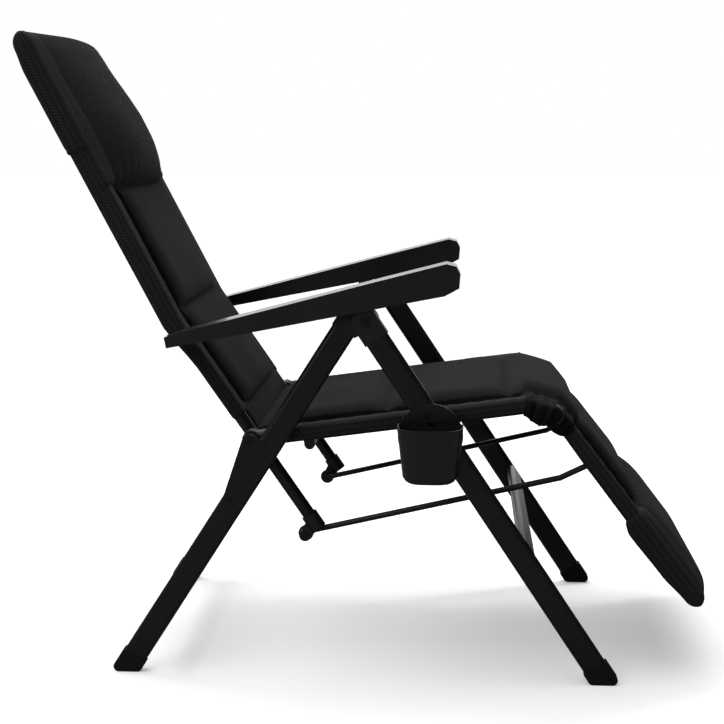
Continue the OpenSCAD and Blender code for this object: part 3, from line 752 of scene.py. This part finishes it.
class CHAIR_OT_foot_cover(bpy.types.Operator):
    """Builds the footrest's padded cover and its thicker end."""

    bl_idname = "chair.foot_cover"
    bl_label = "Footrest cover"

    def execute(self, context):
        covers, _, _ = settings()

        def edge(s):
            """Thin at the knee and a little thicker down the rails."""
            behind = between(s, [(0.04, 0.0120), (0.12, 0.0135), (0.21, 0.0140)])
            return [0 * s + 0.0140, behind, 0 * s + 0.0128]

        cover_pair("footrest", foot_path(), 0.032, 0.236, BACK_HALF, edge, 1,
                   [0.036, 0.219, 0.30], 0.196, covers.foot_crown, "footrest",
                   ["footrest_cushion"])

        def end_edge(s):
            """Thick behind the rails near its start and thinner towards the footrest's edge."""
            behind = between(s, [(0.215, 0.016), (0.245, 0.0245), (0.33, 0.0225), (0.39, 0.0165)])
            return [0 * s + 0.0175, behind, 0 * s + 0.0155]

        def front(s, y):
            """A crown that falls off on all four sides, with tucks at its first seam."""
            along = puff(s - END_LOW, 0.06) * puff(END_TOP - s, 0.06)
            tuck = 0.0012 * np.sin(2 * np.pi * y / 0.034) * np.exp(-(s - END_LOW) / 0.02)
            return 0.0150 + (0.0190 * along + tuck) * puff(BACK_HALF - np.abs(y), 0.075)

        def rear(s, y):
            """The underside, drawn in by 5 mm between the rails."""
            behind = end_edge(s)[1]
            return -behind + 0.005 * puff(BACK_HALF - np.abs(y), 0.1)

        pillow = padded_cover("foot_pillow_cover", foot_path(),
                              stations(END_LOW, END_TOP, 0.004, 0.018, 10),
                              BACK_HALF, end_edge, front, rear, 1, (0.012, 0.022))
        finish_cover(pillow, cloths()[0])
        knit_sides(pillow, BACK_HALF - 0.022)
        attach(pillow, "footrest")
        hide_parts("foot_pillow")
        return {"FINISHED"}


def fold(s, y, side):
    """Gathers across the cloth: two waves along s that grow from 30 mm inside side outwards."""
    covers, _, _ = settings()
    wave = np.sin(2 * np.pi * s / 0.0170 + 26 * np.abs(y))
    wave = wave + 0.45 * np.sin(2 * np.pi * s / 0.0112 + 47 * y)
    return covers.gather * wave * smooth((np.abs(y) - side + 0.03) / 0.05)


def rows(low, high):
    """Places every 1.6 mm from low to high, with one more close to each end."""
    fine = np.linspace(low + LAP, high - LAP, round((high - low) / 0.0016))
    return np.concatenate([[low], fine, [high]])


def hinge_cover(name, path, s, half, shape, ends):
    """One piece of a cover over a hinge, from the point far on its first body to the hinge.

    shape is its edge, front and rear. It is cut square at the hinge, and thins out at its
    other end."""
    edge, front, rear = shape
    piece = padded_cover(name, path, s, half, edge, front, rear, 1, ends)
    finish_cover(piece, cloths()[0])
    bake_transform(piece)


class CHAIR_OT_knee_cover(bpy.types.Operator):
    """Builds the cloth that runs on from the seat over the knee to the footrest.

    It is one cover cut across at the knee. The two pieces meet in a ring."""

    bl_idname = "chair.knee_cover"
    bl_label = "Knee cover"

    def execute(self, context):
        knee, path, side = PIVOT["footrest_recline"], seat_path(), 0.215

        def half(s):
            """From the seat rails in to the footrest rails."""
            return between(s, [(KNEE - 0.03, SEAT_HALF), (KNEE + 0.045, BACK_HALF)])

        def edge(s):
            """Sags below the rails and bulges past the brackets at the knee."""
            sag = between(s, [(0.448, 0.0150), (0.488, 0.0245), (0.52, 0.0225), (0.556, 0.0150)])
            bulge = between(s, [(0.455, 0.0160), (0.500, 0.0260), (0.515, 0.0260), (0.545, 0.0160)])
            return [0 * s + 0.0160, sag, bulge + fold(s, 0.26, side) * 0.8]

        def front(s, y):
            """Level with the rails, with a padded middle that ends under the footrest's panel."""
            crown = 0.015 * puff(0.200 - np.abs(y), 0.05) * puff(np.abs(s - 0.431), 0.04)
            return 0.0160 + crown * (s < 0.55) + fold(s, y, side)

        def rear(s, y):
            """The sag, less 12 mm in the middle, with gathers."""
            return -edge(s)[1] + 0.012 * puff(0.24 - np.abs(y), 0.08) + fold(s, y, side)

        shape = edge, front, rear
        s_seat, s_foot = rows(KNEE_START, KNEE + LAP), rows(KNEE - LAP, KNEE_END)
        hinge_cover("knee_cover_seat", path, s_seat, half(s_seat), shape,
                    (0.014, LAP))
        hinge_cover("knee_cover_foot", path, s_foot, half(s_foot), shape,
                    (LAP, 0.014))
        return {"FINISHED"}


class CHAIR_OT_corner_cover(bpy.types.Operator):
    """Builds the cloth in the corner between seat and back, in two pieces as at the knee."""

    bl_idname = "chair.corner_cover"
    bl_label = "Corner cover"

    def execute(self, context):
        hinge, path = PIVOT["recline"], corner_path()

        def edge(s):
            """An even tube-like edge."""
            return [0 * s + 0.0125, 0 * s + 0.0135, 0 * s + 0.0085]

        def front(s, y):
            """Level, with small gathers."""
            return 0.0125 + 0.5 * fold(s, y, 0.21)

        def rear(s, y):
            """Level, with small gathers."""
            return -0.0135 + 0.5 * fold(s, y, 0.21)

        shape = edge, front, rear
        hinge_cover("corner_cover_back", path, rows(0.004, CORNER_REACH + LAP), CORNER_HALF, shape,
                    (0.010, LAP))
        hinge_cover("corner_cover_seat", path, rows(CORNER_REACH - LAP, 2 * CORNER_REACH),
                    CORNER_HALF, shape, (LAP, 0.010))
        return {"FINISHED"}


# ---- finishes of the carried-over pieces ------------------------------------------------


class CHAIR_OT_finishes(bpy.types.Operator):
    """Gives the tubes, moulded parts, rubber and bolts their materials."""

    bl_idname = "chair.finishes"
    bl_label = "Frame finishes"

    def execute(self, context):
        _, look, _ = settings()
        paint = hard_material("Powder coat", look.paint, look.gloss, 1400, 0.00006)
        plastic = hard_material("Moulded plastic", look.plastic, 0.5, 1800, 0.00008)
        armrest = hard_material("Armrest plastic", look.armrest, 0.3, 2200, 0.00003, coat=0.25)
        cup = hard_material("Cup plastic", look.cup, 0.4, 1500, 0.00003)
        rubber = hard_material("Rubber", (0.006, 0.006, 0.006), 0.75, 1200, 0.0001, spec=0.3)
        steel = hard_material("Black zinc", (0.035, 0.035, 0.038), 0.3, 1600, 0.00003, metal=1.0)
        slots = {"black_steel": paint, "moulded_plastic": plastic, "armrest_plastic": armrest,
                 "cup_plastic": cup, "rubber_feet": rubber, "bolts": steel,
                 "quilted_fabric": paint}
        for part in frame["record"]["subparts"]:
            dress(frame["nodes"][part["node"]], slots[part["material_slot"]])
        return {"FINISHED"}


# ---- studio -----------------------------------------------------------------------------


def turn_to(direction):
    """The turn of a lamp or camera that looks in this direction."""
    return Vector(direction).to_track_quat("-Z", "Y").to_euler()


def add_lamp(name, kind, power, direction, at=(0, 0, 0)):
    """A lamp at this place, shining in this direction. Returns its settings."""
    data = bpy.data.lights.new(name, kind)
    data.energy = power
    lamp = bpy.data.objects.new(name, data)
    bpy.context.scene.collection.objects.link(lamp)
    lamp.location = at
    lamp.rotation_euler = turn_to(direction)
    return data


def add_floor():
    """A wide white floor just under the feet. It glows faintly to the camera and sends less
    light back to the chair than it shows."""
    x = np.linspace(-30, 30, 3)
    grid = np.stack([*np.meshgrid(x, x, indexing="ij"), np.zeros((3, 3)) - 0.0002], -1)
    floor = skin("floor", grid[:, ::-1])
    m, t, p = start_material("Floor")
    where = t.nodes.new("ShaderNodeTexCoord")
    noise = t.nodes.new("ShaderNodeTexNoise")
    noise.inputs["Scale"].default_value = 3
    t.links.new(where.outputs["Object"], noise.inputs["Vector"])
    white = mix_colour(t, noise.outputs[0], (0.93, 0.93, 0.93), (0.95, 0.95, 0.95))
    seen = t.nodes.new("ShaderNodeLightPath")
    tone = t.nodes.new("ShaderNodeMix")
    tone.data_type = "RGBA"
    tone.inputs[6].default_value = (0.22, 0.22, 0.22, 1)
    t.links.new(seen.outputs["Is Camera Ray"], tone.inputs[0])
    t.links.new(white, tone.inputs[7])
    t.links.new(tone.outputs[2], p.inputs["Base Color"])
    p.inputs["Roughness"].default_value = 0.9
    p.inputs["Specular IOR Level"].default_value = 0.0
    p.inputs["Emission Color"].default_value = (1, 1, 1, 1)
    t.links.new(spread(t, seen.outputs["Is Camera Ray"], 0, 0.30), p.inputs["Emission Strength"])
    dress(floor, m)


def add_room(strength):
    """A room that is white to the camera, and lights the chair with this strength."""
    scene = bpy.context.scene
    scene.world = scene.world or bpy.data.worlds.new("Studio")
    scene.world.use_nodes = True
    t = scene.world.node_tree
    background = t.nodes["Background"]
    background.inputs["Color"].default_value = (1, 1, 1, 1)
    seen = t.nodes.new("ShaderNodeLightPath")
    t.links.new(spread(t, seen.outputs["Is Camera Ray"], strength, 1.0),
                background.inputs["Strength"])


class CHAIR_OT_studio(bpy.types.Operator):
    """Adds the floor, light and camera."""

    bl_idname = "chair.studio"
    bl_label = "Studio"

    def execute(self, context):
        _, _, look = settings()
        scene = context.scene
        scene.view_settings.view_transform = "Standard"
        add_floor()
        add_room(look.room)
        sky = add_lamp("sky", "SUN", 2.5 * look.power, (0.34, -0.10, -1))
        sky.angle = math.radians(90)
        for name, at, aim, size, power in (
            ("wall", (-0.4, 3.2, 1.0), (0, 0, 0.9), (4.5, 1.8), 30),
            ("strip", (-0.3, 0.9, 2.6), (0, 0, 0.5), (2.4, 0.25), 22),
            ("front", (-1.4, -2.6, 1.7), (0, 0, 0.5), (1.2, 1.2), 10)):
            lamp = add_lamp(name, "AREA", power * look.power, Vector(aim) - Vector(at), at)
            lamp.shape = "RECTANGLE"
            lamp.size, lamp.size_y = size

        data = bpy.data.cameras.new("camera")
        data.sensor_width = 36
        data.lens = look.lens
        camera = bpy.data.objects.new("camera", data)
        scene.collection.objects.link(camera)
        camera.location = look.camera
        camera.rotation_euler = turn_to(look.ahead)
        scene.camera = camera
        return {"FINISHED"}


OPERATORS = (CHAIR_OT_finishes, CHAIR_OT_seat_cover, CHAIR_OT_back_cover, CHAIR_OT_head_pillow,
             CHAIR_OT_foot_cover, CHAIR_OT_knee_cover, CHAIR_OT_corner_cover, CHAIR_OT_studio)


class CHAIR_PT_build(bpy.types.Panel):
    """Lists the chair's pieces."""

    bl_label = "Lounge Chair"
    bl_idname = "CHAIR_PT_build"
    bl_space_type = "VIEW_3D"
    bl_region_type = "UI"
    bl_category = "Lounge Chair"

    def draw(self, context):
        for group_of in settings():
            box = self.layout.box()
            for name in group_of.__annotations__:
                box.prop(group_of, name)
        for operator in OPERATORS:
            self.layout.operator(operator.bl_idname)


GROUPS = (("chair_covers", CoverSettings), ("chair_frame", FrameSettings),
          ("chair_studio", StudioSettings))


def register():
    for name, cls in GROUPS:
        bpy.utils.register_class(cls)
        setattr(bpy.types.Scene, name, bpy.props.PointerProperty(type=cls))
    for cls in (*OPERATORS, CHAIR_PT_build):
        bpy.utils.register_class(cls)


def unregister():
    for cls in (CHAIR_PT_build, *OPERATORS[::-1]):
        bpy.utils.unregister_class(cls)
    for name, cls in GROUPS[::-1]:
        delattr(bpy.types.Scene, name)
        bpy.utils.unregister_class(cls)


def main():
    """Registers the settings and builders, and builds the chair in order."""
    register()
    for operator in OPERATORS:
        category, name = operator.bl_idname.split(".")
        getattr(getattr(bpy.ops, category), name)()


if __name__ == "__main__":
    main()
